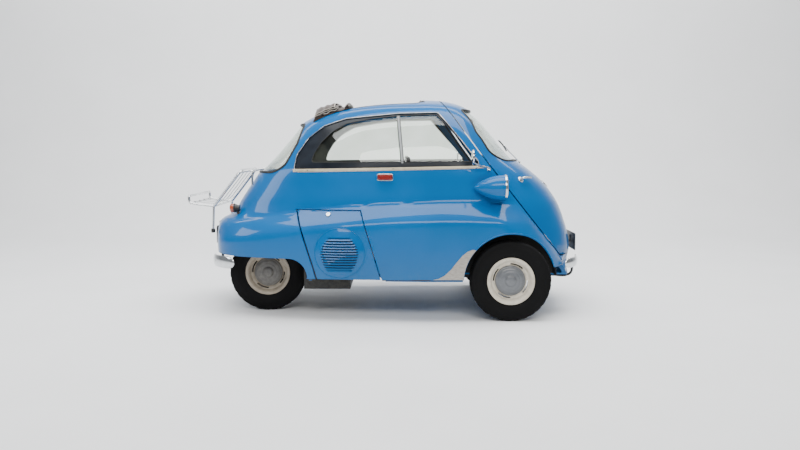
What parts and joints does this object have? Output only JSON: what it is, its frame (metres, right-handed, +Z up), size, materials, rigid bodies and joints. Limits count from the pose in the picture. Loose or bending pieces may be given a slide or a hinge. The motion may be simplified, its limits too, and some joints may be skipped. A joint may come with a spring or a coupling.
{
  "type": "bubble car",
  "caption": "Egg-shaped two-seat bubble car with a front door, bullet lamp pods, folding fabric roof, close-set rear wheels and a tubular luggage rack.",
  "frame": {"origin": "centre of the car's bounding box on the floor it stands on", "axes": "+X forward, +Y to the car's left, +Z up"},
  "size_m": [2.4974, 1.38, 1.34],
  "materials": {
    "blue_paint": "gloss",
    "dark_steel": "satin",
    "chrome": "polished",
    "tyre": "matt",
    "cream_paint": "gloss",
    "glass": "clear",
    "roof_fabric": "woven",
    "seat_leather": "grained",
    "lamp_glass": "fluted",
    "orange_lens": "clear lens",
    "tail_lens": "clear lens",
    "plate_white": "gloss",
    "exhaust_steel": "heat-stained",
    "ivory_plastic": "gloss"
  },
  "bodies": {
    "body": {"body_side_left": "blue_paint", "body_side_right": "blue_paint", "roof_frame": "blue_paint", "rear_panel": "blue_paint", "floor_pan": "blue_paint", "rear_deck": "blue_paint", "front_wheel_arches": "dark_steel", "chassis_frame": "dark_steel", "front_axle_beam": "dark_steel", "rear_springs": "dark_steel", "engine_block": "dark_steel", "exhaust": "exhaust_steel", "seat": "seat_leather", "side_windows": "glass", "rear_window": "glass", "folded_roof": "roof_fabric", "headlamp_pods": "blue_paint", "headlamp_lenses": "lamp_glass", "side_indicators": "orange_lens", "mirrors": "chrome", "front_bumper": "chrome", "rear_bumper": "chrome", "luggage_rack": "chrome", "tail_lamps": "tail_lens", "rear_plate": "plate_white", "steering_box": "dark_steel", "pedals_and_levers": "dark_steel", "hinge_body_leaves": "blue_paint"},
    "door": {"front_door": "blue_paint", "windscreen": "glass", "door_handle": "chrome", "wiper": "chrome", "front_plate": "plate_white", "hinge_door_leaves": "blue_paint", "steering_column": "dark_steel"},
    "steering_wheel": {"steering_wheel": "ivory_plastic"},
    "engine_hatch": {"engine_hatch": "blue_paint"},
    "knuckle_left": {"steering_knuckle_left": "dark_steel"},
    "knuckle_right": {"steering_knuckle_right": "dark_steel"},
    "tie_rod": {"tie_rod": "dark_steel"},
    "front_wheel_left": {"tyre_front_left": "tyre", "wheel_front_left": "cream_paint"},
    "front_wheel_right": {"tyre_front_right": "tyre", "wheel_front_right": "cream_paint"},
    "rear_axle": {"rear_tyres": "tyre", "rear_wheels": "cream_paint"}
  },
  "joints": [
    {"name": "steer_left", "type": "hinge", "parent": "body", "child": "knuckle_left", "pos_m": [0.76125, 0.515, 0.219], "axis": [0, 0, 1], "range_deg": [-25, 25]},
    {"name": "steer_right", "type": "hinge", "parent": "body", "child": "knuckle_right", "pos_m": [0.76125, -0.515, 0.219], "axis": [0, 0, 1], "range_deg": [-25, 25]},
    {"name": "tie_rod_swing", "type": "hinge", "parent": "knuckle_left", "child": "tie_rod", "pos_m": [0.64325, 0.515, 0.1575], "axis": [0, 0, 1], "range_deg": [-25, 25]},
    {"name": "steering_wheel_turn", "type": "hinge", "parent": "door", "child": "steering_wheel", "pos_m": [0.54325, 0.232, 0.77], "axis": [-0.7008, 0, 0.7133], "range_deg": [-300, 300]},
    {"name": "front_wheel_left_spin", "type": "hinge", "parent": "knuckle_left", "child": "front_wheel_left", "pos_m": [0.76125, 0.6, 0.242], "axis": [0, 1, 0], "continuous": true},
    {"name": "front_wheel_right_spin", "type": "hinge", "parent": "knuckle_right", "child": "front_wheel_right", "pos_m": [0.76125, -0.6, 0.242], "axis": [0, 1, 0], "continuous": true},
    {"name": "rear_axle_spin", "type": "hinge", "parent": "body", "child": "rear_axle", "pos_m": [-0.73875, 0, 0.242], "axis": [0, 1, 0], "continuous": true},
    {"name": "door_swing", "type": "hinge", "parent": "body", "child": "door", "pos_m": [0.82625, 0.57, 0.7], "axis": [-0.3746, 0, 0.9272], "range_deg": [0, 75]},
    {"name": "engine_hatch_drop", "type": "hinge", "parent": "body", "child": "engine_hatch", "pos_m": [-0.20275, -0.618, 0.254], "axis": [1, 0, 0], "range_deg": [0, 60]}
  ],
  "couplings": [
    {"joint": "steer_right", "follows": "steer_left", "ratio": 1},
    {"joint": "tie_rod_swing", "follows": "steer_left", "ratio": -1},
    {"joint": "steering_wheel_turn", "follows": "steer_left", "ratio": 12}
  ]
}
